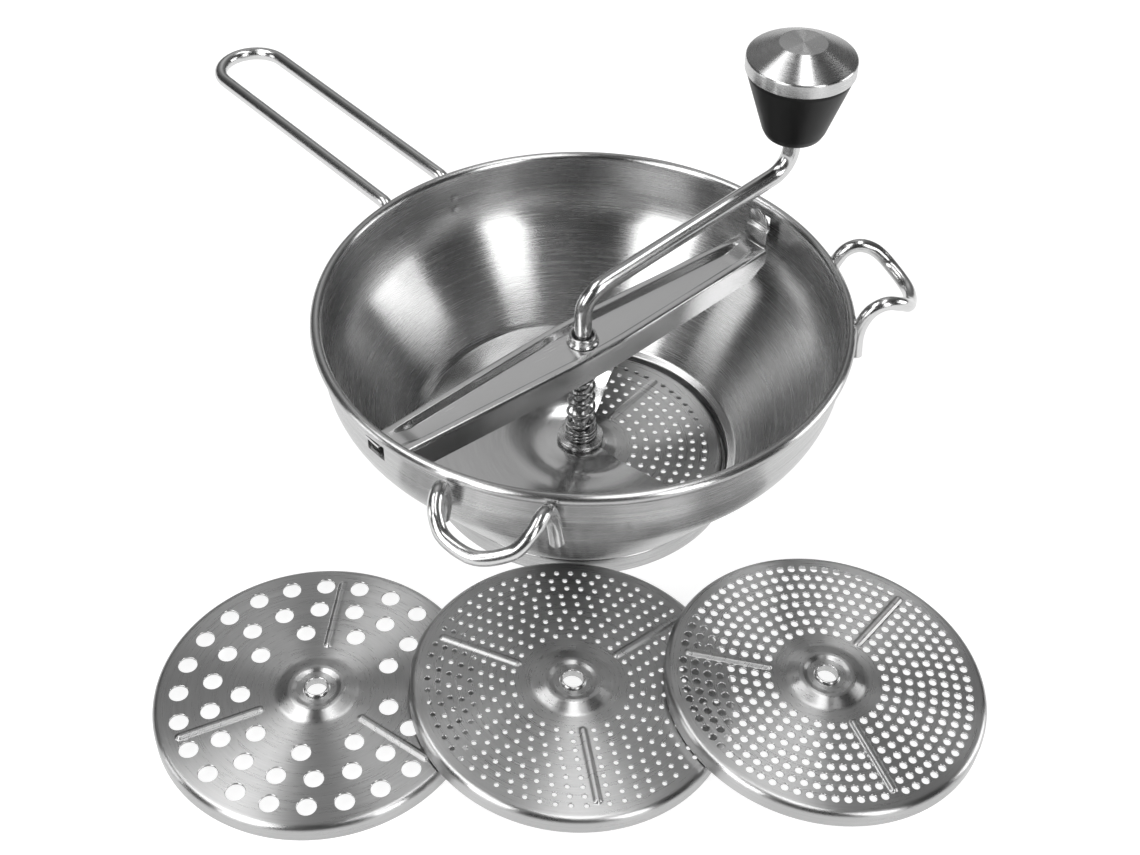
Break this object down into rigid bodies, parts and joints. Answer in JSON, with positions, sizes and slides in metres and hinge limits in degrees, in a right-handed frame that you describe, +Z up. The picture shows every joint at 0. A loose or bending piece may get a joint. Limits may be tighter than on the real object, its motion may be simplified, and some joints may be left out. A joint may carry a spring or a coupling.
{
  "type": "rotary food mill",
  "caption": "Hand-cranked rotary food mill: steel bowl with wire handles, sprung blade and interchangeable perforated discs.",
  "frame": {"origin": "middle of the whole set's footprint, on the surface it stands on; the bowl's axis is 12.57 mm along +X and 1.41 mm along -Y from it", "axes": "+Z up along the bowl's axis, the spare discs lie on the -Y side, and the long handle points to the back left, between -X and +Y"},
  "size_m": [0.3684, 0.4298, 0.1905],
  "materials": {
    "brushed_steel": "circumferentially brushed",
    "polished_wire": "polished",
    "satin_steel": "satin",
    "spring_steel": "drawn wire",
    "black_plastic": "fine moulded"
  },
  "bodies": {
    "mill": {"bowl": "brushed_steel", "foot_ring": "brushed_steel", "long_handle": "polished_wire", "front_hook": "polished_wire", "side_hook": "polished_wire", "fitted_disc": "satin_steel", "fitted_disc_bush": "polished_wire"},
    "crossbar": {"crossbar": "brushed_steel", "finger_tab": "brushed_steel", "crossbar_tongue": "brushed_steel", "crossbar_collar": "brushed_steel"},
    "carriage": {"pressure_spring": "spring_steel", "spring_seat": "brushed_steel"},
    "crank": {"crank_rod": "polished_wire", "blade": "satin_steel", "blade_hub": "satin_steel", "knob_rivet": "brushed_steel"},
    "knob": {"knob_body": "black_plastic", "knob_cap": "brushed_steel", "knob_bush": "brushed_steel"},
    "coarse_spare": {"coarse_disc": "satin_steel", "coarse_disc_bush": "polished_wire"},
    "fine_spare": {"fine_disc": "satin_steel", "fine_disc_bush": "polished_wire"},
    "medium_spare": {"medium_disc": "satin_steel", "medium_disc_bush": "polished_wire"}
  },
  "joints": [
    {"name": "crossbar_tilt", "type": "hinge", "parent": "mill", "child": "crossbar", "pos_m": [-0.07334, -0.07876, 0.0893], "axis": [0.6691, -0.7431, 0], "range_deg": [0, 40]},
    {"name": "blade_float", "type": "slide", "parent": "crossbar", "child": "carriage", "axis": [0, 0, 1], "range_m": [0, 0.006], "stiffness_N_per_m": 1500, "springref_m": -0.008, "deforming": ["pressure_spring"]},
    {"name": "crank_turn", "type": "hinge", "parent": "carriage", "child": "crank", "pos_m": [0.01257, -0.00141, 0.0153], "axis": [0, 0, 1], "continuous": true},
    {"name": "knob_spin", "type": "hinge", "parent": "crank", "child": "knob", "pos_m": [0.1052, 0.06589, 0.144], "axis": [0, 0, 1], "continuous": true},
    {"name": "coarse_disc_lift", "type": "slide", "parent": "mill", "child": "coarse_spare", "axis": [0, -0.8, 0.6], "range_m": [0, 0.16]},
    {"name": "fine_disc_lift", "type": "slide", "parent": "coarse_spare", "child": "fine_spare", "axis": [0, -0.8, 0.6], "range_m": [0, 0.16]},
    {"name": "medium_disc_lift", "type": "slide", "parent": "fine_spare", "child": "medium_spare", "axis": [0, -0.8, 0.6], "range_m": [0, 0.16]}
  ]
}
